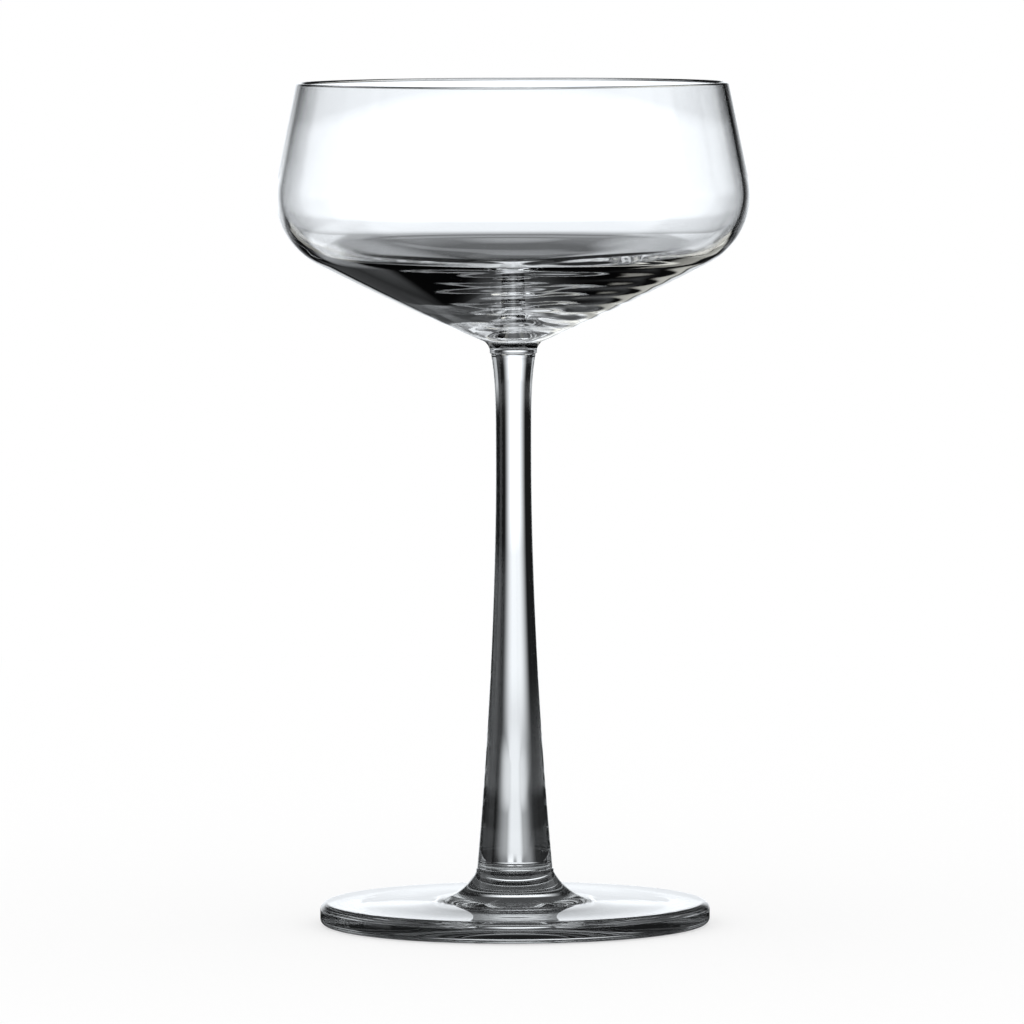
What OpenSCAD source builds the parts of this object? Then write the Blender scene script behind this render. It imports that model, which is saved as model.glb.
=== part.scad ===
// Coupe glass: a wide shallow bowl on a tapered stem with a thick round foot.
// It is three pieces of clear glass, fused end to end while hot: bowl, stem and foot.
// Each piece is a solid of revolution about Z, and meets the next on a level, flat seam.
// Sizes are in millimetres. The origin is the centre of the foot's underside, on the table.

/* [Bowl] */
// Diameter across the widest ring of the bowl
bowl_d = 108; // [100:1:116]
// Outer diameter of the rim
rim_d = 98.5; // [92:0.5:102]
// Height of the bowl, from its seam on the stem to the rim
bowl_h = 61.7; // [56:0.1:70]
// Height of the widest ring above the seam
belly_h = 36.1; // [33:0.1:39]
// Radius of the bulge between the widest ring and the straight wall
shoulder_r = 19; // [12:0.5:28]
// Radius of the turn from the widest ring to the underside
corner_r = 17.4; // [14:0.1:20]
// Radius of the slight outward bow of the underside
under_bow_r = 700; // [300:10:1500]
// Glass at the rim
rim_wall = 1.2; // [0.9:0.05:1.8]
// Glass at the widest ring
belly_wall = 1.5; // [1.1:0.05:2.2]
// Radius of the inside where the wall turns to the floor
inner_corner_r = 15.2; // [14:0.1:16]
// Radius of the very slight bow of the inside floor, which is nearly a straight cone
floor_bow_r = 1500; // [600:100:3000]
// Radius of the dished middle of the inside floor
floor_dish_r = 20; // [12:1:34]
// Glass on the axis, from the seam to the inside floor
base_t = 6.2; // [5.5:0.1:7.5]
// Diameter of the short neck drawn down from the bowl
knuckle_d = 10.8; // [10.4:0.1:12]
// Height of the neck's straight side above the seam
knuckle_h = 0.5; // [0.5:0.1:1.5]
// Radius between the neck and the underside
knuckle_fillet_r = 2.6; // [2:0.1:5]

/* [Stem] */
// Length of the stem between its two seams
stem_h = 117.7; // [90:0.1:140]
// Diameter at the narrowest place
stem_neck_d = 8.1; // [6.5:0.1:9.5]
// Height of the narrowest place above the foot's seam
stem_neck_h = 92.4; // [70:0.1:100]
// Diameter at the bowl's seam
stem_top_d = 10.3; // [9.6:0.1:10.4]
// Diameter at the foot's seam
stem_foot_d = 17.2; // [14:0.1:17.4]

/* [Foot] */
// Diameter of the foot
foot_d = 89; // [74:1:100]
// Height of the foot at its boss, from the table to the stem's seam
foot_h = 12.6; // [11.5:0.1:14.5]
// Glass at the foot's edge
foot_edge_t = 4.9; // [4:0.1:5.8]
// Rise of the top face from the edge to the boss
foot_rise = 0.5; // [0.2:0.1:1]
// Diameter of the boss that takes the stem
boss_d = 17.7; // [17.4:0.1:20]
// Height of the boss's straight collar
collar_h = 0.8; // [0.6:0.1:1.2]
// Radius of the flare from the boss to the top face
flare_r = 12; // [9:0.5:16]
// Radius of the foot's upper edge
edge_top_r = 1.7; // [1:0.1:2]
// Radius of the foot's lower edge
edge_low_r = 1.3; // [0.8:0.1:2]
// Inner diameter of the level ring that the glass stands on
rest_inner_d = 72; // [60:1:73]
// Depth of the hollow under the foot
hollow_h = 1.1; // [0.5:0.1:2]

/* [Seams] */
// Radius of the fire-rounded edges beside each seam
seam_r = 0.3; // [0.1:0.05:0.4]

/* [Hidden] */
// Facets of the preview round the axis
$fn = 128;
// How sharply the stem flares at its bowl end and at its foot end
top_flare_power = 4.6;
foot_flare_power = 1.8;
// Steps along each kind of curve
fine_steps = 6;
arc_steps = 14;
long_steps = 20;
stem_steps = 36;
glass_tint = [0.86, 0.92, 0.93, 0.45];

// Vector helpers in the outline plane, where x is the radius and y the height
function turn_of(v) = atan2(v[1], v[0]);
function arc(centre, r, from, to, steps) =
    [for (i = [0 : steps]) let (a = from + (to - from) * i / steps)
        centre + r * [cos(a), sin(a)]];

// Centre of the circle that lies at distance d1 from c1 and d2 from c2, on the upper side
function carrier(c1, d1, c2, d2) =
    let (
        v = c2 - c1,
        gap = norm(v),
        along = (d1 * d1 - d2 * d2 + gap * gap) / (2 * gap),
        off = sqrt(d1 * d1 - along * along),
        side = [-v[1], v[0]] * sign(v[0]) / gap
    )
    c1 + along * v / gap + off * side;

// Direction of the normal of the line that touches two circles. A negative radius
// means that the line touches that circle on its far side.
function tangent_turn(c1, r1, c2, r2) =
    let (v = c2 - c1)
    turn_of(v) + acos((r1 - r2) / norm(v));

// Rim circle, and the circles that the outer and the inner wall follow
rim_r = rim_wall / 2;
rim_c = [rim_d / 2 - rim_r, bowl_h - rim_r];
belly_c = [bowl_d / 2 - shoulder_r, belly_h];
corner_c = [bowl_d / 2 - corner_r, belly_h];
fillet_c = [knuckle_d / 2 + knuckle_fillet_r, knuckle_h];
under_c = carrier(corner_c, under_bow_r - corner_r, fillet_c, under_bow_r + knuckle_fillet_r);
inner_corner_c = [bowl_d / 2 - belly_wall - inner_corner_r, belly_h];
dish_c = [0, base_t + floor_dish_r];
floor_c = carrier(dish_c, floor_bow_r - floor_dish_r,
                  inner_corner_c, floor_bow_r - inner_corner_r);
outer_lean = tangent_turn(rim_c, rim_r, belly_c, shoulder_r);
inner_lean = tangent_turn(rim_c, -rim_r, belly_c, shoulder_r - belly_wall);

// Outer side of the bowl, from the seam up to the rim
bowl_outside = concat(
    arc([knuckle_d / 2 - seam_r, seam_r], seam_r, -90, 0, fine_steps),
    arc(fillet_c, knuckle_fillet_r, 180, turn_of(under_c - fillet_c), arc_steps),
    arc(under_c, under_bow_r, turn_of(fillet_c - under_c), turn_of(corner_c - under_c), long_steps),
    arc(corner_c, corner_r, turn_of(corner_c - under_c), 0, long_steps),
    arc(belly_c, shoulder_r, 0, outer_lean, fine_steps)
);
// Rim and inner side, from the rim down to the axis
bowl_inside = concat(
    arc(rim_c, rim_r, outer_lean, inner_lean + 180, arc_steps),
    arc(belly_c, shoulder_r - belly_wall, inner_lean, 0, fine_steps),
    arc(inner_corner_c, inner_corner_r, 0, turn_of(inner_corner_c - floor_c), long_steps),
    arc(floor_c, floor_bow_r, turn_of(inner_corner_c - floor_c), turn_of(dish_c - floor_c), long_steps),
    arc(dish_c, floor_dish_r, turn_of(dish_c - floor_c), -90, arc_steps)
);

// Radius of the stem at height z above its lower seam
function stem_r(z) =
    let (
        up = max(0, (z - stem_neck_h) / (stem_h - stem_neck_h)),
        down = max(0, (stem_neck_h - z) / stem_neck_h)
    )
    (stem_neck_d
        + (stem_top_d - stem_neck_d) * pow(up, top_flare_power)
        + (stem_foot_d - stem_neck_d) * pow(down, foot_flare_power)) / 2;
stem_side = [for (i = [0 : stem_steps])
    let (z = seam_r + (stem_h - 2 * seam_r) * i / stem_steps) [stem_r(z), z]];
stem_low_end = [stem_r(seam_r) - seam_r, seam_r];
stem_top_end = [stem_r(stem_h - seam_r) - seam_r, stem_h - seam_r];

// Top face of the foot: level at the edge and at the boss, with a soft rise between
foot_flat_r = foot_d / 2 - edge_top_r;
face_top = foot_edge_t + foot_rise;
collar_foot = [boss_d / 2, foot_h - collar_h];
flare_up = face_top + flare_r - collar_foot[1];
flare_c = [boss_d / 2 + sqrt(flare_r * flare_r - flare_up * flare_up), face_top + flare_r];
foot_top = [for (i = [0 : arc_steps]) let (share = i / arc_steps)
    [flare_c[0] + (foot_flat_r - flare_c[0]) * share,
     foot_edge_t + foot_rise * (1 + cos(180 * share)) / 2]];
// Hollow under the foot, a shallow cap inside the level ring
hollow_r = (pow(rest_inner_d / 2, 2) + hollow_h * hollow_h) / (2 * hollow_h);
hollow_turn = asin(rest_inner_d / 2 / hollow_r);
hollow_c = [0, hollow_h - hollow_r];

module revolve(outline) {
    color(glass_tint)
        rotate_extrude()
            polygon(outline);
}

module bowl() {
    translate([0, 0, foot_h + stem_h])
        revolve(concat([[0, 0]], bowl_outside, bowl_inside));
}

module stem() {
    translate([0, 0, foot_h])
        revolve(concat(
            [[0, 0]],
            arc(stem_low_end, seam_r, -90, 0, fine_steps),
            stem_side,
            arc(stem_top_end, seam_r, 0, 90, fine_steps),
            [[0, stem_h]]
        ));
}

module foot() {
    revolve(concat(
        [[0, foot_h]],
        arc([boss_d / 2 - seam_r, foot_h - seam_r], seam_r, 90, 0, fine_steps),
        arc(flare_c, flare_r, turn_of(collar_foot - flare_c) + 360, 270, arc_steps),
        foot_top,
        arc([foot_flat_r, foot_edge_t - edge_top_r], edge_top_r, 90, 0, arc_steps),
        arc([foot_d / 2 - edge_low_r, edge_low_r], edge_low_r, 0, -90, arc_steps),
        arc(hollow_c, hollow_r, 90 - hollow_turn, 90, arc_steps)
    ));
}

bowl();
stem();
foot();
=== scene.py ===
"""Finished looks of a clear coupe glass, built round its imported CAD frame.

Three closed pieces of glass stand for the three CAD nodes: the drawn bowl, the stem and the
pressed foot. They meet on clear fused seams, so light runs through them as through one glass.
A pale table, a studio of soft panels and the camera complete the scene. Lengths are in
millimetres where a name ends in _mm or a class says so, and in metres everywhere else.
Compass angles run from +Y, behind the glass, towards +X, on its right.
"""

import logging
import math
from dataclasses import dataclass, field
from enum import Enum
from typing import Callable, ClassVar, Optional, Union

import bmesh
import bpy
import numpy as np
from mathutils import Matrix, Vector


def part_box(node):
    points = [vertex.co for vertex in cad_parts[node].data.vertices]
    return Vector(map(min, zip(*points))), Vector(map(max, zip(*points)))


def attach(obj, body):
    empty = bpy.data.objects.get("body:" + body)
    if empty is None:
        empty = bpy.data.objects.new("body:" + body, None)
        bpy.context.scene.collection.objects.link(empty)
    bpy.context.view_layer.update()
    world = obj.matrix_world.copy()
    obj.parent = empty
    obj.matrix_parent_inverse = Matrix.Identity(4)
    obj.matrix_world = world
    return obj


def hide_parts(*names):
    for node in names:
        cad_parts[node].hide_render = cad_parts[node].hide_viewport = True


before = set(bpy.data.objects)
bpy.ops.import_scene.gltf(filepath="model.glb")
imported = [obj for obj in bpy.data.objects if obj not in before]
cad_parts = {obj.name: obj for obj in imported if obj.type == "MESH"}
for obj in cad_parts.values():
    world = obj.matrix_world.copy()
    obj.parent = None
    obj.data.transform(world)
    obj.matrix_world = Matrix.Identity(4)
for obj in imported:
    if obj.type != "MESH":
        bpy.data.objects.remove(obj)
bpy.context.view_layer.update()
LOG = logging.getLogger("coupe_glass")

MM = 0.001
BODY = "root"
# Points round every ring of glass, and the length below which two outline points are one
RING_POINTS = 256
SAME_POINT_MM = 1e-4
FULL_TURN = 360.0
# Material indices of a piece of glass: its skin, and its flat fused seams
SKIN_INDEX = 0
SEAM_INDEX = 1

Socket = bpy.types.NodeSocket
Value = Union[Socket, float]
# Where something starts, is full, starts to fade and ends
Bounds = tuple[float, float, float, float]
# Gives, for the number of a ring, the shift of its radii and of its heights
Waves = Callable[[int], tuple[np.ndarray, np.ndarray]]


class Slot(Enum):
    """Material slots of the record."""

    BOWL = "bowl_glass"
    STEM = "stem_glass"
    FOOT = "foot_glass"


class Tone(Enum):
    """Colours of the studio's pale surfaces, as red, green and blue."""

    COOL = (0.93, 0.965, 1.0)
    CREAM = (1.0, 1.0, 0.93)


class Zone(Enum):
    """Stretches of the bowl's outline, from the seam up the outside and down the inside."""

    SEAM_EDGE = 0
    KNUCKLE = 1
    UNDERSIDE = 2
    CORNER = 3
    WALL = 4
    RIM = 5
    INNER_WALL = 6
    INNER_CORNER = 7
    FLOOR = 8
    DISH = 9


INNER_FLOOR = (Zone.INNER_CORNER, Zone.FLOOR, Zone.DISH)
UNDERSIDE = (Zone.KNUCKLE, Zone.UNDERSIDE, Zone.CORNER)
# Straight steps that each stretch is drawn in
ZONE_STEPS = {
    Zone.SEAM_EDGE: 8,
    Zone.KNUCKLE: 24,
    Zone.UNDERSIDE: 60,
    Zone.CORNER: 48,
    Zone.WALL: 12,
    Zone.RIM: 24,
    Zone.INNER_WALL: 12,
    Zone.INNER_CORNER: 48,
    Zone.FLOOR: 110,
    Zone.DISH: 40,
}


# Outline geometry, in millimetres: x is the radius, y the height


def turn_of(v: np.ndarray) -> float:
    """Direction of a vector in degrees."""
    return math.degrees(math.atan2(v[1], v[0]))


def arc(centre: np.ndarray, radius: float, start: float, end: float, steps: int) -> np.ndarray:
    """Points along a circular arc.

    Args:
        centre: centre of the circle.
        radius: its radius.
        start: first direction in degrees.
        end: last direction in degrees.
        steps: number of straight steps.

    Returns:
        The points, one per row.
    """
    turns = np.radians(np.linspace(start, end, steps + 1))
    return np.stack([centre[0] + radius * np.cos(turns), centre[1] + radius * np.sin(turns)], 1)


def carrier(c1: np.ndarray, d1: float, c2: np.ndarray, d2: float) -> np.ndarray:
    """Centre of the large circle that carries a bowed stretch between two others.

    Args:
        c1: centre of the first circle.
        d1: distance wanted from c1.
        c2: centre of the second circle.
        d2: distance wanted from c2.

    Returns:
        The point at both distances, on the upper side.
    """
    v = c2 - c1
    gap = float(np.linalg.norm(v))
    along = (d1 * d1 - d2 * d2 + gap * gap) / (2 * gap)
    off = math.sqrt(d1 * d1 - along * along)
    side = np.array([-v[1], v[0]]) * np.sign(v[0]) / gap
    return c1 + along * v / gap + off * side


def tangent_turn(c1: np.ndarray, r1: float, c2: np.ndarray, r2: float) -> float:
    """Direction of the normal of the line that touches two circles.

    Args:
        c1: centre of the first circle.
        r1: its radius, negative where the line touches its far side.
        c2: centre of the second circle.
        r2: its radius.

    Returns:
        The direction in degrees.
    """
    v = c2 - c1
    return turn_of(v) + math.degrees(math.acos((r1 - r2) / float(np.linalg.norm(v))))


def soft_step(x: np.ndarray, start: float, end: float) -> np.ndarray:
    """Smooth rise from 0 at start to 1 at end."""
    u = np.clip((x - start) / (end - start), 0.0, 1.0)
    return u * u * (3 - 2 * u)


# Finishes


@dataclass(frozen=True)
class GlassFinish:
    """Clear fire-polished glass with a faint waviness left by the hot skin.

    Attributes:
        name: name of the material.
        tint: colour that light takes on each time it crosses the skin.
        refraction: index of refraction.
        wave_scale: waves of the skin per metre, roughly.
        wave_detail: finer waves on top of them.
        wave_depth: height of the waves in metres.
        wave_strength: how much of them shows.
    """

    name: str
    tint: tuple[float, float, float]
    refraction: float = 1.5
    wave_scale: float = 55.0
    wave_detail: float = 1.0
    wave_depth: float = 0.00001
    wave_strength: float = 0.05

    def material(self) -> bpy.types.Material:
        """Material of this finish, with its waviness read from Object coordinates.

        Returns:
            The clear glass material.
        """
        made = bpy.data.materials.new(self.name)
        made.use_nodes = True
        tree = made.node_tree
        skin = tree.nodes["Principled BSDF"]
        skin.inputs["Base Color"].default_value = (*self.tint, 1.0)
        skin.inputs["Roughness"].default_value = 0.0
        skin.inputs["IOR"].default_value = self.refraction
        skin.inputs["Transmission Weight"].default_value = 1.0
        where = tree.nodes.new("ShaderNodeTexCoord")
        noise = tree.nodes.new("ShaderNodeTexNoise")
        noise.inputs["Scale"].default_value = self.wave_scale
        noise.inputs["Detail"].default_value = self.wave_detail
        bump = tree.nodes.new("ShaderNodeBump")
        bump.inputs["Strength"].default_value = self.wave_strength
        bump.inputs["Distance"].default_value = self.wave_depth
        tree.links.new(where.outputs["Object"], noise.inputs["Vector"])
        tree.links.new(noise.outputs["Fac"], bump.inputs["Height"])
        tree.links.new(bump.outputs["Normal"], skin.inputs["Normal"])
        return made


@dataclass(frozen=True)
class SeamFinish:
    """A fused seam: the glass runs on through it, so nothing of it is seen."""

    name: str = "fused_seam"

    def material(self) -> bpy.types.Material:
        """Material that lets light pass straight through.

        Returns:
            The material of the seams' flat faces.
        """
        made = bpy.data.materials.new(self.name)
        made.use_nodes = True
        made.node_tree.nodes["Principled BSDF"].inputs["Alpha"].default_value = 0.0
        return made


BOWL_GLASS = GlassFinish("bowl_glass_clear", (0.996, 0.998, 1.0))
STEM_GLASS = GlassFinish("stem_glass_clear", (0.994, 0.999, 0.998))
FOOT_GLASS = GlassFinish("foot_glass_clear", (0.990, 0.998, 0.994))


# Glass pieces


@dataclass(frozen=True)
class Ripple:
    """One train of gentle rings left in the glass by the tools and the gathering.

    Lengths are in millimetres. The rings bend with the azimuth, because no glass is turned
    quite evenly.

    Attributes:
        height: half of the wave's height.
        length: distance from crest to crest.
        swing: how far the crests wander round the axis, in radians of the wave.
        turns: wanderings per turn.
        start: where the wandering starts, in radians.
        side: azimuth in degrees where the rings are strongest.
        fade: angles in degrees from that side at which they start to fade and are gone.
    """

    height: float
    length: float
    swing: float
    turns: int
    start: float
    side: float
    fade: tuple[float, float]

    def rise(self, run: float, azimuth: np.ndarray) -> np.ndarray:
        """Height of the wave round one ring.

        Args:
            run: distance of the ring along the outline.
            azimuth: direction of each of its points in radians.

        Returns:
            The wave's height at each point.
        """
        full, gone = (math.cos(math.radians(angle)) for angle in self.fade)
        strength = soft_step(np.cos(azimuth - math.radians(self.side)), gone, full)
        wander = self.swing * np.sin(self.turns * azimuth + self.start)
        return self.height * strength * np.sin(2 * math.pi * run / self.length + wander)


def ring_directions() -> np.ndarray:
    """Azimuth of every point of a ring, in radians."""
    return np.linspace(0, 2 * math.pi, RING_POINTS, endpoint=False)


def turned_mesh(name: str, outline: np.ndarray, waves: Optional[Waves] = None) -> bpy.types.Mesh:
    """Closed mesh turned from an outline round the axis.

    An end of the outline that stops short of the axis is closed by a flat seam face, which
    gets the seam's material index.

    Args:
        name: name of the mesh.
        outline: radius and height of each ring, in millimetres.
        waves: rings in the skin, where it has them.

    Returns:
        The mesh, in metres.
    """
    directions = ring_directions()
    cosines, sines = np.cos(directions), np.sin(directions)
    points: list[tuple[float, float, float]] = []
    rings: list[list[int]] = []
    for number, (radius, height) in enumerate(outline):
        first = len(points)
        if radius < SAME_POINT_MM:
            rings.append([first])
            points.append((0.0, 0.0, height * MM))
            continue
        shift_r, shift_z = waves(number) if waves else (0.0, 0.0)
        around = (radius + shift_r) * MM + 0.0 * directions
        up = (height + shift_z) * MM + 0.0 * directions
        rings.append(list(range(first, first + RING_POINTS)))
        points += zip((around * cosines).tolist(), (around * sines).tolist(), up.tolist())

    faces: list[tuple[int, ...]] = []
    indices: list[int] = []
    for low, high in zip(rings[:-1], rings[1:]):
        for i in range(RING_POINTS):
            j = (i + 1) % RING_POINTS
            if len(low) == 1:
                faces.append((low[0], high[j], high[i]))
            elif len(high) == 1:
                faces.append((low[i], low[j], high[0]))
            else:
                faces.append((low[i], low[j], high[j], high[i]))
            indices.append(SKIN_INDEX)
    for ring, height in ((rings[0], outline[0][1]), (rings[-1], outline[-1][1])):
        if len(ring) == 1:
            continue
        middle = len(points)
        points.append((0.0, 0.0, height * MM))
        for i in range(RING_POINTS):
            faces.append((middle, ring[i], ring[(i + 1) % RING_POINTS]))
            indices.append(SEAM_INDEX)

    mesh = bpy.data.meshes.new(name)
    mesh.from_pydata(points, [], faces)
    mesh.polygons.foreach_set("material_index", indices)
    shell = bmesh.new()
    shell.from_mesh(mesh)
    bmesh.ops.recalc_face_normals(shell, faces=shell.faces)
    shell.to_mesh(mesh)
    shell.free()
    mesh.shade_smooth()
    return mesh


def without_doubles(outline: np.ndarray) -> list[int]:
    """Numbers of the outline's points that don't repeat the one before.

    Args:
        outline: radius and height of each point, in millimetres.

    Returns:
        The numbers of the points to keep, in order.
    """
    kept = [0]
    for number in range(1, len(outline)):
        if np.linalg.norm(outline[number] - outline[kept[-1]]) > SAME_POINT_MM:
            kept.append(number)
    return kept


def place(mesh: bpy.types.Mesh, node: str) -> bpy.types.Object:
    """Puts a finished mesh in the scene in place of its CAD node.

    Args:
        mesh: the mesh, with its place in its points.
        node: name of the CAD node that it stands for.

    Returns:
        The new object.
    """
    piece = bpy.data.objects.new(mesh.name, mesh)
    bpy.context.scene.collection.objects.link(piece)
    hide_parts(node)
    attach(piece, BODY)
    LOG.info("%s: %d points, %d faces", piece.name, len(mesh.vertices), len(mesh.polygons))
    return piece


def span_mm(node: str) -> tuple[float, float, float]:
    """Diameter, lowest and highest height of a CAD node, in millimetres."""
    low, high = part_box(node)
    return round((high.x - low.x) / MM, 1), round(low.z / MM, 1), round(high.z / MM, 1)


@dataclass
class Bowl:
    """The drawn bowl: a thick cone-shaped middle that thins into a soft belly and a rim.

    Sizes are in millimetres. Its diameter and its two heights come from the CAD node.

    Attributes:
        node: CAD node that it stands for.
        rim_d: outer diameter of the rim.
        belly_h: height of the widest ring above the seam.
        shoulder_r: radius of the bulge between the widest ring and the straight wall.
        corner_r: radius of the turn from the widest ring to the underside.
        under_bow_r: radius of the underside's slight outward bow.
        rim_wall: glass at the rim.
        belly_wall: glass at the widest ring.
        inner_corner_r: radius of the inside where the wall turns to the floor.
        floor_bow_r: radius of the very slight bow of the inside floor.
        floor_dish_r: radius of the dished middle of that floor.
        base_t: glass on the axis.
        knuckle_d: diameter of the short neck drawn down from the bowl.
        knuckle_h: height of the neck's straight side above the seam.
        knuckle_fillet_r: radius between the neck and the underside.
        seam_r: radius of the fire-rounded edge beside the seam.
        finish: its glass.
        floor_ripples: rings in the skin of the inside floor.
        under_ripples: rings in the skin of the underside.
        calm_middle: distances along the floor at which its rings begin and are full.
        calm_wall: heights above the seam at which all rings start to die away and are gone.
        calm_neck: distances from the axis at which the underside's rings begin and are full.
        zones: stretch of the outline that each of its rings belongs to.
    """

    node: str = "bowl"
    rim_d: float = 98.5
    belly_h: float = 36.1
    shoulder_r: float = 19.0
    corner_r: float = 17.4
    under_bow_r: float = 700.0
    rim_wall: float = 1.2
    belly_wall: float = 1.5
    inner_corner_r: float = 15.2
    floor_bow_r: float = 1500.0
    floor_dish_r: float = 20.0
    base_t: float = 6.2
    knuckle_d: float = 10.8
    knuckle_h: float = 0.5
    knuckle_fillet_r: float = 2.6
    seam_r: float = 0.3
    finish: GlassFinish = BOWL_GLASS
    floor_ripples: tuple[Ripple, ...] = (
        Ripple(height=0.024, length=11.0, swing=0.9, turns=1, start=0.6, side=-92, fade=(12, 45)),
        Ripple(height=0.009, length=4.3, swing=1.5, turns=3, start=1.1, side=-86, fade=(10, 40)),
        Ripple(height=0.030, length=5.2, swing=1.4, turns=1, start=0.6, side=-35, fade=(22, 48)),
        Ripple(height=0.018, length=6.3, swing=1.2, turns=2, start=2.2, side=-148, fade=(20, 46)),
    )
    under_ripples: tuple[Ripple, ...] = (
        Ripple(height=0.006, length=7.5, swing=1.3, turns=1, start=2.0, side=-45, fade=(40, 90)),
        Ripple(height=0.028, length=4.8, swing=1.6, turns=2, start=0.4, side=-30, fade=(24, 46)),
    )
    calm_middle: tuple[float, float] = (1.5, 6.0)
    calm_wall: tuple[float, float] = (22.0, 30.0)
    calm_neck: tuple[float, float] = (8.0, 14.0)
    zones: list[Zone] = field(default_factory=list)

    def outline(self) -> np.ndarray:
        """Outline from the seam up the outside, over the rim and down to the axis.

        Returns:
            Radius and height of each ring, in millimetres above the seam.
        """
        bowl_d, low, high = span_mm(self.node)
        rim_r = self.rim_wall / 2
        rim = np.array([self.rim_d / 2 - rim_r, high - low - rim_r])
        belly = np.array([bowl_d / 2 - self.shoulder_r, self.belly_h])
        corner = np.array([bowl_d / 2 - self.corner_r, self.belly_h])
        fillet = np.array([self.knuckle_d / 2 + self.knuckle_fillet_r, self.knuckle_h])
        under = carrier(
            corner, self.under_bow_r - self.corner_r,
            fillet, self.under_bow_r + self.knuckle_fillet_r,
        )
        turn_in = np.array([bowl_d / 2 - self.belly_wall - self.inner_corner_r, self.belly_h])
        dish = np.array([0.0, self.base_t + self.floor_dish_r])
        floor = carrier(
            dish, self.floor_bow_r - self.floor_dish_r,
            turn_in, self.floor_bow_r - self.inner_corner_r,
        )
        outer_lean = tangent_turn(rim, rim_r, belly, self.shoulder_r)
        inner_shoulder_r = self.shoulder_r - self.belly_wall
        inner_lean = tangent_turn(rim, -rim_r, belly, inner_shoulder_r)
        neck_edge = np.array([self.knuckle_d / 2 - self.seam_r, self.seam_r])
        inner_end = turn_of(turn_in - floor)
        dish_start = turn_of(dish - floor)
        arcs = {
            Zone.SEAM_EDGE: (neck_edge, self.seam_r, -90, 0),
            Zone.KNUCKLE: (fillet, self.knuckle_fillet_r, 180, turn_of(under - fillet)),
            Zone.UNDERSIDE: (
                under, self.under_bow_r, turn_of(fillet - under), turn_of(corner - under)),
            Zone.CORNER: (corner, self.corner_r, turn_of(corner - under), 0),
            Zone.WALL: (belly, self.shoulder_r, 0, outer_lean),
            Zone.RIM: (rim, rim_r, outer_lean, inner_lean + 180),
            Zone.INNER_WALL: (belly, inner_shoulder_r, inner_lean, 0),
            Zone.INNER_CORNER: (turn_in, self.inner_corner_r, 0, inner_end),
            Zone.FLOOR: (floor, self.floor_bow_r, inner_end, dish_start),
            Zone.DISH: (dish, self.floor_dish_r, dish_start, -90),
        }
        stretches = {zone: arc(*drawn, ZONE_STEPS[zone]) for zone, drawn in arcs.items()}
        joined = np.vstack(list(stretches.values()))
        zones = [zone for zone, points in stretches.items() for _ in points]
        kept = without_doubles(joined)
        self.zones = [zones[number] for number in kept]
        return joined[kept]

    def waves(self, outline: np.ndarray) -> Waves:
        """Rings in the skin of the bowl's middle.

        Args:
            outline: the outline that the rings lie on.

        Returns:
            A function that gives the shift of the radii and heights of one ring of points.
        """
        along = np.gradient(outline, axis=0)
        along /= np.linalg.norm(along, axis=1)[:, None]
        runs = np.concatenate([[0.0], np.cumsum(np.linalg.norm(np.diff(outline, axis=0), axis=1))])
        azimuth = ring_directions()

        def shift(number: int) -> tuple[np.ndarray, np.ndarray]:
            """Shift of the points of one ring.

            Args:
                number: number of the ring in the outline.

            Returns:
                How far each point moves outwards and upwards, in millimetres.
            """
            radius, height = outline[number]
            zone = self.zones[number]
            calm = 1 - soft_step(height, *self.calm_wall)
            if zone in INNER_FLOOR:
                run = runs[-1] - runs[number]
                calm *= soft_step(run, *self.calm_middle)
                ripples = self.floor_ripples
            elif zone in UNDERSIDE:
                run = runs[number]
                calm *= soft_step(radius, *self.calm_neck)
                ripples = self.under_ripples
            else:
                return 0.0 * azimuth, 0.0 * azimuth
            rise = calm * sum(ripple.rise(run, azimuth) for ripple in ripples)
            return rise * along[number][1], -rise * along[number][0]

        return shift

    def build(self, seam: bpy.types.Material) -> bpy.types.Object:
        """Builds and dresses the bowl on the stem's upper seam.

        Args:
            seam: material of the fused face.

        Returns:
            The bowl.
        """
        outline = self.outline()
        mesh = turned_mesh("bowl_blown", outline, self.waves(outline))
        mesh.transform(Matrix.Translation((0, 0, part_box(self.node)[0].z)))
        mesh.materials.append(self.finish.material())
        mesh.materials.append(seam)
        return place(mesh, self.node)


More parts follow.
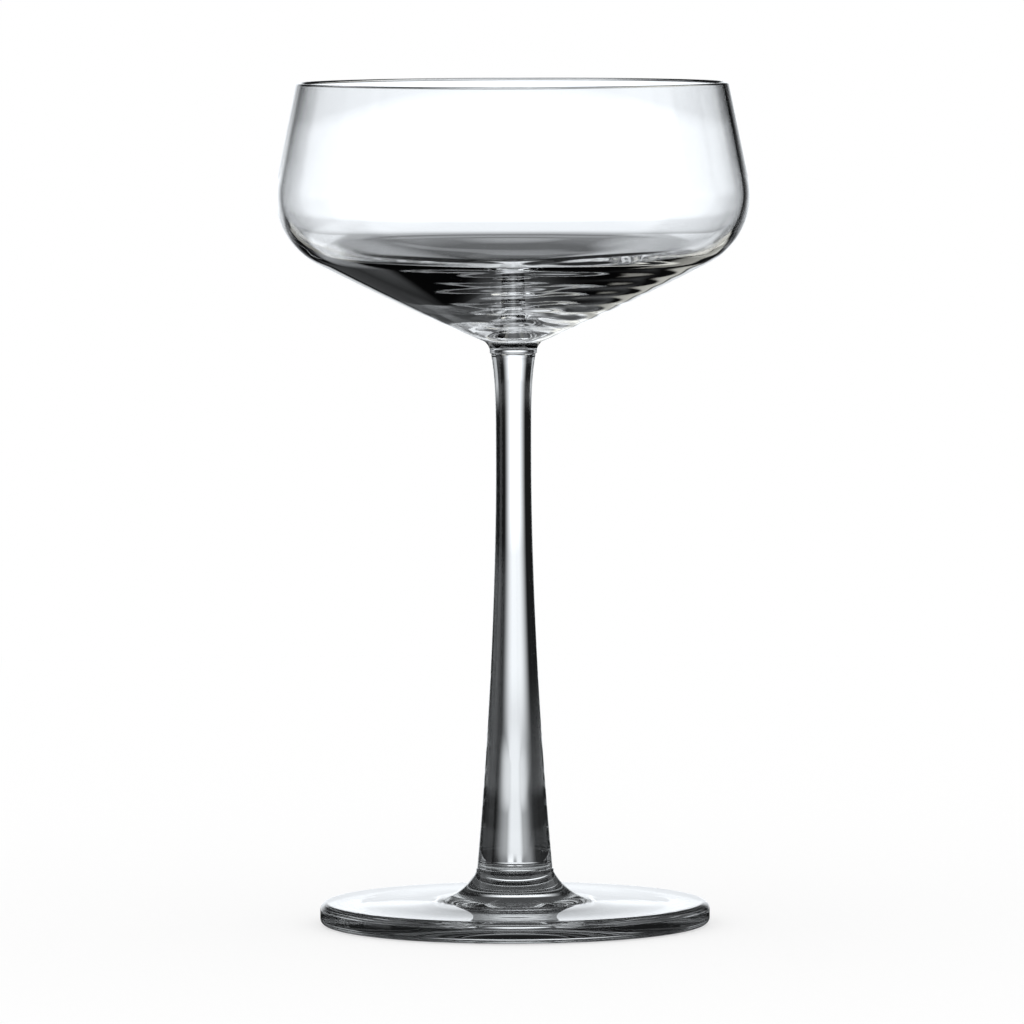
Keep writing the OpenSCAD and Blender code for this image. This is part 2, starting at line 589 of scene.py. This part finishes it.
@dataclass
class Stem:
    """The solid stem, narrowest under the bowl, as a geometry-node tree.

    Sizes are in millimetres. Its length and its place come from the CAD node.

    Attributes:
        node: CAD node that it stands for.
        neck_d: diameter at the narrowest place.
        neck_h: height of that place above the foot's seam.
        top_d: diameter at the bowl's seam.
        foot_d: diameter at the foot's seam.
        top_power: how sharply it flares at its bowl end.
        foot_power: how sharply it flares at its foot end.
        seam_r: radius of the fire-rounded edges beside the seams.
        rings: stretches of its side, from ring to ring.
        finish: its glass.
    """

    node: str = "stem"
    neck_d: float = 8.1
    neck_h: float = 92.4
    top_d: float = 10.3
    foot_d: float = 17.2
    top_power: float = 4.6
    foot_power: float = 1.8
    seam_r: float = 0.3
    rings: int = 120
    finish: GlassFinish = STEM_GLASS

    def sizes(self) -> dict[str, float]:
        """Named inputs of the tree, in metres where they are lengths."""
        _, low, high = span_mm(self.node)
        return {
            "Foot Seam Height": low * MM,
            "Length": (high - low) * MM,
            "Neck Height": self.neck_h * MM,
            "Neck Radius": self.neck_d * MM / 2,
            "Top Radius": self.top_d * MM / 2,
            "Foot Radius": self.foot_d * MM / 2,
            "Top Power": self.top_power,
            "Foot Power": self.foot_power,
            "Edge Radius": self.seam_r * MM,
        }

    def tree(self, glass: bpy.types.Material, seam: bpy.types.Material) -> bpy.types.NodeTree:
        """Tree that draws the stem from its named sizes.

        Args:
            glass: material of the side.
            seam: material of the two fused end faces.

        Returns:
            The geometry-node tree.
        """
        tree = bpy.data.node_groups.new("stem_draw", "GeometryNodeTree")
        for name in self.sizes():
            tree.interface.new_socket(name, in_out="INPUT", socket_type="NodeSocketFloat")
        tree.interface.new_socket("Glass", in_out="OUTPUT", socket_type="NodeSocketGeometry")
        given = tree.nodes.new("NodeGroupInput").outputs
        wires = Wiring(tree)

        bar = tree.nodes.new("GeometryNodeMeshCylinder")
        bar.fill_type = "TRIANGLE_FAN"
        bar.inputs["Vertices"].default_value = RING_POINTS
        bar.inputs["Side Segments"].default_value = self.rings
        bar.inputs["Radius"].default_value = 1.0
        bar.inputs["Depth"].default_value = 1.0
        where = tree.nodes.new("GeometryNodeInputPosition")
        split = tree.nodes.new("ShaderNodeSeparateXYZ")
        tree.links.new(where.outputs[0], split.inputs[0])
        x, y, z = split.outputs

        # Rings crowd towards both seams, where the fire-rounded edges are
        share = wires.math("ADD", z, 0.5)
        crowd = wires.math("COSINE", wires.math("MULTIPLY", share, math.pi))
        share = wires.math("MULTIPLY", wires.math("SUBTRACT", 1.0, crowd), 0.5)
        height = wires.math("MULTIPLY", share, given["Length"])
        edge = given["Edge Radius"]
        top_edge = wires.math("SUBTRACT", given["Length"], edge)
        side = wires.math("MINIMUM", wires.math("MAXIMUM", height, edge), top_edge)

        above = wires.math("SUBTRACT", side, given["Neck Height"])
        reach_up = wires.math("SUBTRACT", given["Length"], given["Neck Height"])
        up = wires.math("MAXIMUM", wires.math("DIVIDE", above, reach_up), 0.0)
        down = wires.math("DIVIDE", above, given["Neck Height"])
        down = wires.math("MAXIMUM", wires.math("MULTIPLY", down, -1.0), 0.0)
        top_flare = wires.math("SUBTRACT", given["Top Radius"], given["Neck Radius"])
        foot_flare = wires.math("SUBTRACT", given["Foot Radius"], given["Neck Radius"])
        top_flare = wires.math("MULTIPLY", top_flare, wires.math("POWER", up, given["Top Power"]))
        foot_flare = wires.math(
            "MULTIPLY", foot_flare, wires.math("POWER", down, given["Foot Power"]))
        radius = wires.math("ADD", given["Neck Radius"], wires.math("ADD", top_flare, foot_flare))

        # Within the edge radius of a seam the side draws in along a quarter circle
        beyond = wires.math("ABSOLUTE", wires.math("SUBTRACT", height, side))
        room = wires.math("SUBTRACT", wires.math("MULTIPLY", edge, edge),
                          wires.math("MULTIPLY", beyond, beyond))
        draw_in = wires.math("SUBTRACT", edge, wires.math("SQRT", wires.math("MAXIMUM", room, 0.0)))
        radius = wires.math("SUBTRACT", radius, draw_in)

        joined = tree.nodes.new("ShaderNodeCombineXYZ")
        tree.links.new(wires.math("MULTIPLY", x, radius), joined.inputs[0])
        tree.links.new(wires.math("MULTIPLY", y, radius), joined.inputs[1])
        tree.links.new(wires.math("ADD", height, given["Foot Seam Height"]), joined.inputs[2])
        move = tree.nodes.new("GeometryNodeSetPosition")
        tree.links.new(bar.outputs["Mesh"], move.inputs["Geometry"])
        tree.links.new(joined.outputs[0], move.inputs["Position"])

        smooth = tree.nodes.new("GeometryNodeSetShadeSmooth")
        whole = tree.nodes.new("GeometryNodeRealizeInstances")
        dress = tree.nodes.new("GeometryNodeSetMaterial")
        dress.inputs["Material"].default_value = glass
        ends = tree.nodes.new("FunctionNodeBooleanMath")
        ends.operation = "OR"
        tree.links.new(bar.outputs["Top"], ends.inputs[0])
        tree.links.new(bar.outputs["Bottom"], ends.inputs[1])
        dress_ends = tree.nodes.new("GeometryNodeSetMaterial")
        dress_ends.inputs["Material"].default_value = seam
        tree.links.new(ends.outputs[0], dress_ends.inputs["Selection"])
        done = tree.nodes.new("NodeGroupOutput")
        chain = (move, smooth, whole, dress, dress_ends)
        for before, after in zip(chain[:-1], chain[1:]):
            tree.links.new(before.outputs[0], after.inputs["Geometry"])
        tree.links.new(dress_ends.outputs[0], done.inputs[0])
        return tree

    def build(self, seam: bpy.types.Material) -> bpy.types.Object:
        """Runs the tree once and keeps its result as a plain mesh.

        Args:
            seam: material of the two fused faces.

        Returns:
            The stem.
        """
        blank = bpy.data.objects.new("stem_blank", bpy.data.meshes.new("stem_blank"))
        bpy.context.scene.collection.objects.link(blank)
        tree = self.tree(self.finish.material(), seam)
        drawn = blank.modifiers.new("draw", "NODES")
        drawn.node_group = tree
        sockets = {item.name: item.identifier for item in tree.interface.items_tree}
        for name, size in self.sizes().items():
            drawn[sockets[name]] = size
        scene_now = bpy.context.evaluated_depsgraph_get()
        mesh = bpy.data.meshes.new_from_object(blank.evaluated_get(scene_now))
        mesh.name = "stem_drawn"
        blank.modifiers.clear()
        bpy.data.objects.remove(blank)
        return place(mesh, self.node)


@dataclass
class Foot:
    """The pressed foot: a thick round plate with a boss, a flare and a hollow underside.

    Sizes are in millimetres. Its diameter and height come from the CAD node.

    Attributes:
        node: CAD node that it stands for.
        edge_t: glass at the edge.
        rise: rise of the top face from the edge to the boss.
        boss_d: diameter of the boss that takes the stem.
        collar_h: height of the boss's straight collar.
        flare_r: radius of the flare from the boss to the top face.
        edge_top_r: radius of the upper edge.
        edge_low_r: radius of the lower edge.
        rest_inner_d: inner diameter of the level ring that the glass stands on.
        hollow_h: depth of the hollow inside that ring.
        seam_r: radius of the fire-rounded edge beside the seam.
        seam_steps: straight steps that this edge is drawn in.
        flare_steps: straight steps of the flare.
        face_points: points along the top face.
        edge_steps: straight steps of the upper and of the lower edge.
        hollow_steps: straight steps of the hollow.
        finish: its glass.
    """

    node: str = "foot"
    edge_t: float = 4.9
    rise: float = 0.5
    boss_d: float = 17.7
    collar_h: float = 0.8
    flare_r: float = 12.0
    edge_top_r: float = 1.7
    edge_low_r: float = 1.3
    rest_inner_d: float = 72.0
    hollow_h: float = 1.1
    seam_r: float = 0.3
    seam_steps: int = 8
    flare_steps: int = 32
    face_points: int = 24
    edge_steps: int = 20
    hollow_steps: int = 24
    finish: GlassFinish = FOOT_GLASS

    def outline(self) -> np.ndarray:
        """Outline from the seam over the flare and the edge to the middle of the underside.

        Returns:
            Radius and height of each ring, in millimetres above the table.
        """
        foot_d, _, foot_h = span_mm(self.node)
        flat_r = foot_d / 2 - self.edge_top_r
        face_top = self.edge_t + self.rise
        collar = np.array([self.boss_d / 2, foot_h - self.collar_h])
        flare_up = face_top + self.flare_r - collar[1]
        flare = np.array([
            self.boss_d / 2 + math.sqrt(self.flare_r ** 2 - flare_up ** 2),
            face_top + self.flare_r,
        ])
        shares = np.linspace(0, 1, self.face_points)
        face = np.stack([
            flare[0] + (flat_r - flare[0]) * shares,
            self.edge_t + self.rise * (1 + np.cos(math.pi * shares)) / 2,
        ], 1)
        hollow_r = ((self.rest_inner_d / 2) ** 2 + self.hollow_h ** 2) / (2 * self.hollow_h)
        hollow_turn = math.degrees(math.asin(self.rest_inner_d / 2 / hollow_r))
        boss_edge = np.array([self.boss_d / 2 - self.seam_r, foot_h - self.seam_r])
        upper_edge = np.array([flat_r, self.edge_t - self.edge_top_r])
        lower_edge = np.array([foot_d / 2 - self.edge_low_r, self.edge_low_r])
        hollow = np.array([0.0, self.hollow_h - hollow_r])
        flare_start = turn_of(collar - flare) + FULL_TURN
        joined = np.vstack([
            arc(boss_edge, self.seam_r, 90, 0, self.seam_steps),
            arc(flare, self.flare_r, flare_start, 270, self.flare_steps),
            face,
            arc(upper_edge, self.edge_top_r, 90, 0, self.edge_steps),
            arc(lower_edge, self.edge_low_r, 0, -90, self.edge_steps),
            arc(hollow, hollow_r, 90 - hollow_turn, 90, self.hollow_steps),
        ])
        return joined[without_doubles(joined)]

    def build(self, seam: bpy.types.Material) -> bpy.types.Object:
        """Builds and dresses the foot on the table.

        Args:
            seam: material of the fused face.

        Returns:
            The foot.
        """
        mesh = turned_mesh("foot_pressed", self.outline())
        mesh.materials.append(self.finish.material())
        mesh.materials.append(seam)
        return place(mesh, self.node)


# Table, studio and camera


class Wiring:
    """Makes and joins the small maths nodes of one tree."""

    def __init__(self, tree: bpy.types.NodeTree) -> None:
        """Keeps the tree that the nodes go into."""
        self.tree = tree

    def math(self, operation: str, a: Value, b: Optional[Value] = None,
             clamp: bool = False) -> Socket:
        """One Math node.

        Args:
            operation: what it works out.
            a: first value or socket.
            b: second value or socket, where it has one.
            clamp: whether the result is kept between 0 and 1.

        Returns:
            Its output.
        """
        node = self.tree.nodes.new("ShaderNodeMath")
        node.operation = operation
        node.use_clamp = clamp
        for entry, value in zip(node.inputs, (a, b)):
            if isinstance(value, (int, float)):
                entry.default_value = value
            elif value is not None:
                self.tree.links.new(value, entry)
        return node.outputs[0]

    def rise(self, value: Socket, start: float, end: float) -> Socket:
        """Smooth step.

        Args:
            value: what it depends on.
            start: value at which the step is 0.
            end: value at which it is 1, which may be the smaller of the two.

        Returns:
            The step's height.
        """
        node = self.tree.nodes.new("ShaderNodeMapRange")
        node.interpolation_type = "SMOOTHSTEP"
        self.tree.links.new(value, node.inputs["Value"])
        node.inputs["From Min"].default_value = min(start, end)
        node.inputs["From Max"].default_value = max(start, end)
        node.inputs["To Min"].default_value = 0.0 if start < end else 1.0
        node.inputs["To Max"].default_value = 1.0 if start < end else 0.0
        return node.outputs["Result"]

    def window(self, value: Socket, bounds: Bounds) -> Socket:
        """1 between the middle two bounds, fading to 0 at the outer two."""
        start, full, fading, end = bounds
        return self.math("MULTIPLY", self.rise(value, start, full),
                         self.rise(value, end, fading))

    def bearing(self, x: Socket, y: Socket, compass: float) -> Socket:
        """Angle between a direction and a compass direction.

        Args:
            x: part of the direction along X.
            y: part of the direction along Y.
            compass: compass direction in degrees.

        Returns:
            The angle in radians.
        """
        turn = math.radians(compass)
        across = self.math("SUBTRACT", self.math("MULTIPLY", x, math.cos(turn)),
                           self.math("MULTIPLY", y, math.sin(turn)))
        ahead = self.math("ADD", self.math("MULTIPLY", x, math.sin(turn)),
                          self.math("MULTIPLY", y, math.cos(turn)))
        return self.math("ARCTAN2", across, ahead)

    def mix(self, share: Socket, plain: Tone, full: Tone) -> Socket:
        """Mix of two colours.

        Args:
            share: 0 for the plain one to 1 for the full one.
            plain: first colour.
            full: second colour.

        Returns:
            The colour between them.
        """
        node = self.tree.nodes.new("ShaderNodeMixRGB")
        node.inputs["Color1"].default_value = (*plain.value, 1.0)
        node.inputs["Color2"].default_value = (*full.value, 1.0)
        self.tree.links.new(share, node.inputs["Fac"])
        return node.outputs["Color"]

    def brightest(self, values: list[Socket], least: float) -> Socket:
        """The largest of several values.

        Args:
            values: the values, which may be none.
            least: what the result never goes below.

        Returns:
            The largest of them all.
        """
        top: Value = least
        for value in values:
            top = self.math("MAXIMUM", value, top)
        return top


def radians_of(bounds: Bounds) -> Bounds:
    """The same four angles in radians."""
    start, full, fading, end = (math.radians(angle) for angle in bounds)
    return start, full, fading, end


def facing(wires: Wiring, x: Socket, y: Socket, compass: float, across: Bounds) -> Optional[Socket]:
    """How fully a direction lies within a stretch of the compass.

    Args:
        wires: maths nodes of the tree.
        x: part of the direction along X.
        y: part of the direction along Y.
        compass: middle of the stretch in degrees.
        across: its bounds in degrees from there.

    Returns:
        The share, or None where the stretch goes all the way round.
    """
    if across[3] - across[0] >= FULL_TURN:
        return None
    return wires.window(wires.bearing(x, y, compass), radians_of(across))


@dataclass(frozen=True)
class SoftPanel:
    """A soft-edged light or pale wall far from the glass, seen only in the glass.

    Attributes:
        compass: direction of its middle in degrees.
        across: where it starts, is full, starts to fade and ends, in degrees from there.
        up: the same four places in degrees above the horizon.
        level: its brightness, where 1 is white.
        tone: its colour.
    """

    compass: float
    across: Bounds
    up: Bounds
    level: float
    tone: Tone = Tone.COOL

    def glow(self, wires: Wiring, x: Socket, y: Socket, height: Socket) -> Socket:
        """Its brightness in one direction.

        Args:
            wires: maths nodes of the tree.
            x: part of the direction along X.
            y: part of the direction along Y.
            height: angle of the direction above the horizon in radians.

        Returns:
            The brightness.
        """
        seen = wires.window(height, radians_of(self.up))
        ahead = facing(wires, x, y, self.compass, self.across)
        if ahead is not None:
            seen = wires.math("MULTIPLY", seen, ahead)
        return wires.math("MULTIPLY", seen, self.level)


@dataclass(frozen=True)
class PaintedTableLight:
    """A pool of painted light on the table as the glass shows it: the disc glows there, though it
    is no lamp.

    Attributes:
        compass: direction of its middle in degrees.
        across: where it starts, is full, starts to fade and ends, in degrees from there.
        out: the same four places in metres from the glass's axis.
        level: brightness of the painted light, where 1 is white.
    """

    compass: float
    across: Bounds
    out: Bounds
    level: float

    def cover(self, wires: Wiring, x: Socket, y: Socket, distance: Socket) -> Socket:
        """How fully it covers one place of the table.

        Args:
            wires: maths nodes of the tree.
            x: place along X.
            y: place along Y.
            distance: distance from the axis in metres.

        Returns:
            The cover, from 0 to 1.
        """
        seen = wires.window(distance, self.out)
        ahead = facing(wires, x, y, self.compass, self.across)
        return seen if ahead is None else wires.math("MULTIPLY", seen, ahead)


# Bounds of a stretch that goes all the way round
WHOLE_TURN = (-200.0, -199.0, 199.0, 200.0)


@dataclass
class Table:
    """The pale table: one disc for the eye and the shadow, and one that only the glass shows, with
    pools of painted light on painted shade.

    Attributes:
        radius: radius of both discs in metres.
        below: how far they lie under the foot in metres.
        points: corners of each disc.
        paint: share of white that the paint returns; light makes up the rest to white.
        dark: level of the painted shade on the disc in the glass, outside its patches.
        solid_out: distances in metres between which that disc ends outside its patches.
        least_cover: cover below which a patch counts as gone.
        patches: its pools of painted light.
    """

    radius: float = 0.75
    below: float = 0.0002
    points: int = 96
    paint: float = 0.45
    dark: float = 0.01
    solid_out: tuple[float, float] = (0.06, 0.075)
    least_cover: float = 0.01
    patches: tuple[PaintedTableLight, ...] = (
        # Painted light: under the foot, then behind it, from a bright middle to dimmer sides
        PaintedTableLight(0, WHOLE_TURN, (0.018, 0.024, 0.034, 0.038), 0.5),
        PaintedTableLight(0, (-12, -4, 3, 12), (0.07, 0.09, 0.26, 0.36), 0.9),
        PaintedTableLight(0, (-19, -8, 6, 24), (0.07, 0.09, 0.22, 0.28), 0.4),
        PaintedTableLight(0, (-19, -8, 6, 24), (0.11, 0.17, 0.22, 0.28), 0.75),
    )

    def disc(self, name: str, material: bpy.types.Material) -> bpy.types.Object:
        """One round table top.

        Args:
            name: name of the object and its mesh.
            material: its material.

        Returns:
            The disc.
        """
        turns = [2 * math.pi * i / self.points for i in range(self.points)]
        corners = [(self.radius * math.cos(turn), self.radius * math.sin(turn), -self.below)
                   for turn in turns]
        mesh = bpy.data.meshes.new(name)
        mesh.from_pydata(corners, [], [tuple(range(self.points))])
        mesh.materials.append(material)
        disc = bpy.data.objects.new(name, mesh)
        bpy.context.scene.collection.objects.link(disc)
        return disc

    def paint_material(self) -> bpy.types.Material:
        """White paint that shows as white to the eye and still takes a shadow.

        Returns:
            The material of the disc that the eye sees.
        """
        made = bpy.data.materials.new("table_white")
        made.use_nodes = True
        tree = made.node_tree
        tree.nodes.clear()
        wires = Wiring(tree)
        rays = tree.nodes.new("ShaderNodeLightPath").outputs
        matt = tree.nodes.new("ShaderNodeBsdfDiffuse")
        matt.inputs["Color"].default_value = (self.paint,) * 3 + (1.0,)
        lift = tree.nodes.new("ShaderNodeEmission")
        seen = wires.math("ADD", rays["Is Camera Ray"], rays["Is Transmission Ray"])
        seen = wires.math("ADD", seen, rays["Is Glossy Ray"], clamp=True)
        tree.links.new(wires.math("MULTIPLY", seen, 1 - self.paint), lift.inputs["Strength"])
        both = tree.nodes.new("ShaderNodeAddShader")
        tree.links.new(matt.outputs[0], both.inputs[0])
        tree.links.new(lift.outputs[0], both.inputs[1])
        done = tree.nodes.new("ShaderNodeOutputMaterial")
        tree.links.new(both.outputs[0], done.inputs["Surface"])
        return made

    def shown_material(self) -> bpy.types.Material:
        """What the glass shows of the table: pools of painted light on painted shade, open further
        out.

        Returns:
            The material of the disc that only the glass shows.
        """
        made = bpy.data.materials.new("table_painted_light")
        made.use_nodes = True
        tree = made.node_tree
        tree.nodes.clear()
        wires = Wiring(tree)
        where = tree.nodes.new("ShaderNodeTexCoord")
        split = tree.nodes.new("ShaderNodeSeparateXYZ")
        tree.links.new(where.outputs["Object"], split.inputs[0])
        x, y, _ = split.outputs
        squares = wires.math("ADD", wires.math("MULTIPLY", x, x), wires.math("MULTIPLY", y, y))
        distance = wires.math("SQRT", squares)
        covers = [patch.cover(wires, x, y, distance) for patch in self.patches]
        glows = [wires.math("MULTIPLY", cover, patch.level)
                 for cover, patch in zip(covers, self.patches)]
        solid_start, solid_end = self.solid_out
        near = wires.rise(distance, solid_end, solid_start)
        solid = wires.brightest([near, *covers], 0.0)
        # A patch that fades out keeps its level, and what lies behind it shows through
        shown = wires.math("MAXIMUM", solid, self.least_cover)
        level = wires.math("DIVIDE", wires.brightest(glows, 0.0), shown)
        # Painted light and shade: the disc glows at each patch's level and at the dark level
        # elsewhere, though it is no lamp
        glow = tree.nodes.new("ShaderNodeEmission")
        glow.inputs["Color"].default_value = (*Tone.COOL.value, 1.0)
        tree.links.new(wires.math("MAXIMUM", level, self.dark), glow.inputs["Strength"])
        opening = tree.nodes.new("ShaderNodeBsdfTransparent")
        mixed = tree.nodes.new("ShaderNodeMixShader")
        tree.links.new(solid, mixed.inputs[0])
        tree.links.new(opening.outputs[0], mixed.inputs[1])
        tree.links.new(glow.outputs[0], mixed.inputs[2])
        done = tree.nodes.new("ShaderNodeOutputMaterial")
        tree.links.new(mixed.outputs[0], done.inputs["Surface"])
        return made

    def build(self) -> None:
        """Lays both discs."""
        seen = self.disc("table_top", self.paint_material())
        seen.visible_transmission = False
        seen.visible_glossy = False
        # A glowing disc of painted light and painted shade, seen only in the glass
        shown = self.disc("table_painted_light", self.shown_material())
        shown.visible_camera = False
        shown.visible_diffuse = False
        shown.visible_shadow = False
        LOG.info("table: %s, %s", seen.name, shown.name)


@dataclass
class Studio:
    """White room light, and the soft panels that the glass shows.

    Attributes:
        dark: level between the panels.
        panels: the panels.
    """

    # The wall behind the glass, and the darker foot of it
    WALL: ClassVar[Bounds] = (-31, -9, 3, 22)
    WALL_FOOT: ClassVar[Bounds] = (-28, -12, 8, 22)
    # Heights of the windows' light on the floor, and of the side lights
    FLOOR_LIGHT: ClassVar[Bounds] = (-41, -38, -17, -15)
    SIDE_LIGHT: ClassVar[Bounds] = (-3, 3, 44, 60)
    # Breadth of the two far corners of the room
    FAR_CORNER: ClassVar[Bounds] = (-35, -25, 25, 35)

    dark: float = 0.01
    panels: tuple[SoftPanel, ...] = (
        # White wall behind the glass, brighter step by step from the table up
        SoftPanel(0, WALL, (-11.0, -7.6, 6, 14), 1.03),
        SoftPanel(0, WALL, (-8.2, -4.6, 6, 14), 1.3),
        SoftPanel(0, WALL, (-1, 2, 6, 14), 1.5),
        # Grey foot of that wall
        SoftPanel(0, WALL_FOOT, (-12.4, -11.8, -11.4, -10.8), 0.3),
        SoftPanel(0, WALL_FOOT, (-14.5, -12.5, -9.5, -8.0), 0.16),
        SoftPanel(0, WALL_FOOT, (-10.5, -9.8, -9.3, -8.5), 0.45),
        # Paler parts of its foot to the left and the right, each with a bright core
        SoftPanel(0, (-9, -6, -1.8, -0.8), (-15.0, -13.8, -9.6, -8.4), 0.55),
        SoftPanel(0, (-9, -6, -2.9, -1.7), (-14.6, -13.2, -9.6, -8.4), 1.0),
        SoftPanel(0, (0.6, 1.5, 6, 9), (-15.2, -13.8, -9.6, -8.4), 0.75),
        SoftPanel(0, (1.1, 2.4, 6, 9), (-14.6, -13.2, -9.6, -8.4), 1.2),
        # Light on the floor straight behind: a short crossbar and an upright strip
        SoftPanel(0, (-3, -1.5, 2.5, 6), (-27, -25, -22.5, -21), 1.2),
        SoftPanel(0, (-1.6, -0.9, 0.9, 1.6), (-25, -23, -18, -16.5), 1.2),
        # Cream light on the floor from two windows on the right
        SoftPanel(0, (3.5, 5.5, 9, 10.5), FLOOR_LIGHT, 1.0, Tone.CREAM),
        SoftPanel(0, (13.5, 15, 22, 25), FLOOR_LIGHT, 1.0, Tone.CREAM),
        # Dim floor on the left, and a thin cream strip beyond it
        SoftPanel(0, (-14, -11, -5, -4), (-36, -33, -18, -16), 0.12),
        SoftPanel(0, (-31, -29, -25.3, -24.3), (-42, -36, -14, -12), 0.9, Tone.CREAM),
        # Dim ceiling all round
        SoftPanel(0, WHOLE_TURN, (6, 12, 60, 80), 0.07),
        # Side lights: left with a narrow part down to the floor, left behind, right behind, right
        SoftPanel(-90, (-18, -8, 8, 18), SIDE_LIGHT, 0.8),
        SoftPanel(-90, (-13, -9, 9, 13), (-30, -24, -2, 4), 0.8),
        SoftPanel(-65, (-20, -12, 10, 16), SIDE_LIGHT, 0.6),
        SoftPanel(50, (-12, -6, 8, 14), SIDE_LIGHT, 0.6),
        SoftPanel(72, (-14, -6, 8, 18), SIDE_LIGHT, 0.4),
        SoftPanel(100, (-24, -10, 10, 30), (-2, 6, 50, 70), 1.0),
        # On the camera's side: pale floor, and a pale wall that reaches lowest in its middle
        SoftPanel(180, (-90, -80, 80, 90), (-66, -58, -24, -16), 1.2),
        SoftPanel(180, (-14, -10, 10, 14), (-16, -9, 6, 14), 0.95),
        SoftPanel(180, (-80, -60, 60, 80), (-1, 5, 10, 18), 0.7),
        # Pale floor far off, towards two corners of the room
        SoftPanel(-45, FAR_CORNER, (-39, -35, -26, -22), 1.0),
        SoftPanel(135, FAR_CORNER, (-39, -35, -12, -9), 1.0),
    )

    def colour(self, wires: Wiring, glows: list[Socket], level: Socket) -> Socket:
        """Colour of the overlapping panels.

        Args:
            wires: maths nodes of the tree.
            glows: brightness of each panel.
            level: brightness of all of them together.

        Returns:
            The cool tone, or the cream one as far as a cream panel is the brightest.
        """
        cream = [glow for glow, panel in zip(glows, self.panels) if panel.tone is Tone.CREAM]
        share = wires.math("DIVIDE", wires.brightest(cream, 0.0), level, clamp=True)
        return wires.mix(share, Tone.COOL, Tone.CREAM)

    def build(self) -> None:
        """Makes the world."""
        world = bpy.data.worlds.new("studio")
        bpy.context.scene.world = world
        world.use_nodes = True
        tree = world.node_tree
        tree.nodes.clear()
        wires = Wiring(tree)
        rays = tree.nodes.new("ShaderNodeLightPath").outputs
        where = tree.nodes.new("ShaderNodeTexCoord")
        split = tree.nodes.new("ShaderNodeSeparateXYZ")
        tree.links.new(where.outputs["Generated"], split.inputs[0])
        x, y, z = split.outputs
        height = wires.math("ARCSINE", z)
        glows = [panel.glow(wires, x, y, height) for panel in self.panels]
        level = wires.brightest(glows, self.dark)
        in_glass = wires.math("ADD", rays["Is Transmission Ray"], rays["Is Glossy Ray"], clamp=True)
        # White for the eye and for matt surfaces, and the panels in the glass
        room = tree.nodes.new("ShaderNodeBackground")
        room.inputs["Color"].default_value = (1.0, 1.0, 1.0, 1.0)
        shown = tree.nodes.new("ShaderNodeBackground")
        tree.links.new(self.colour(wires, glows, level), shown.inputs["Color"])
        tree.links.new(level, shown.inputs["Strength"])
        either = tree.nodes.new("ShaderNodeMixShader")
        tree.links.new(in_glass, either.inputs[0])
        tree.links.new(room.outputs[0], either.inputs[1])
        tree.links.new(shown.outputs[0], either.inputs[2])
        done = tree.nodes.new("ShaderNodeOutputWorld")
        tree.links.new(either.outputs[0], done.inputs["Surface"])
        LOG.info("studio: %d panels", len(self.panels))


@dataclass(frozen=True)
class PhotoCamera:
    """The camera of the photograph, fitted to the ellipses of the rim and the foot.

    Attributes:
        distance: metres from the point that it looks at.
        height: height of that point above the table in metres.
        aside: how far that point is from the axis, along X in metres.
        pitch: degrees that it looks down.
        roll: degrees that the picture is turned.
        focal_share: focal length as a share of the picture's width.
        sensor: width of the sensor in millimetres.
        nearest: nearest distance that it shows, in metres.
    """

    distance: float = 2.1828
    height: float = 0.0941
    aside: float = -0.0004
    pitch: float = 3.84
    roll: float = -0.18
    focal_share: float = 9.349
    sensor: float = 36.0
    nearest: float = 0.01

    def build(self) -> None:
        """Puts the camera in place and looks through it."""
        data = bpy.data.cameras.new("camera")
        data.sensor_width = self.sensor
        data.lens = self.focal_share * self.sensor
        data.clip_start = self.nearest
        camera = bpy.data.objects.new("camera", data)
        bpy.context.scene.collection.objects.link(camera)
        look = Matrix.Rotation(math.radians(90 - self.pitch), 4, "X")
        back = (look @ Vector((0, 0, self.distance, 1))).to_3d()
        place_at = Vector((self.aside, 0, self.height)) + back
        turn = Matrix.Rotation(math.radians(self.roll), 4, "Z")
        camera.matrix_world = Matrix.Translation(place_at) @ look @ turn
        bpy.context.scene.camera = camera
        LOG.info("camera: %.3f m away", self.distance)


@dataclass(frozen=True)
class LightPaths:
    """How often light may cross or mirror in the many skins of the glass.

    Attributes:
        all_kinds: most turns of any kind.
        through: most crossings of a glass skin.
        mirrored: most mirrorings.
        open_faces: most crossings of a seam or of the table's open part.
    """

    all_kinds: int = 24
    through: int = 24
    mirrored: int = 12
    open_faces: int = 16

    def apply(self) -> None:
        """Sets them, with the plain view of colours."""
        scene = bpy.context.scene
        scene.view_settings.view_transform = "Standard"
        scene.cycles.max_bounces = self.all_kinds
        scene.cycles.transmission_bounces = self.through
        scene.cycles.glossy_bounces = self.mirrored
        scene.cycles.transparent_max_bounces = self.open_faces


def main() -> None:
    """Builds the glass, the table, the studio and the camera in order."""
    logging.basicConfig(level=logging.INFO, format="%(name)s %(message)s")
    seam = SeamFinish().material()
    Foot().build(seam)
    Stem().build(seam)
    Bowl().build(seam)
    Table().build()
    Studio().build()
    PhotoCamera().build()
    LightPaths().apply()


if __name__ == "__main__":
    main()
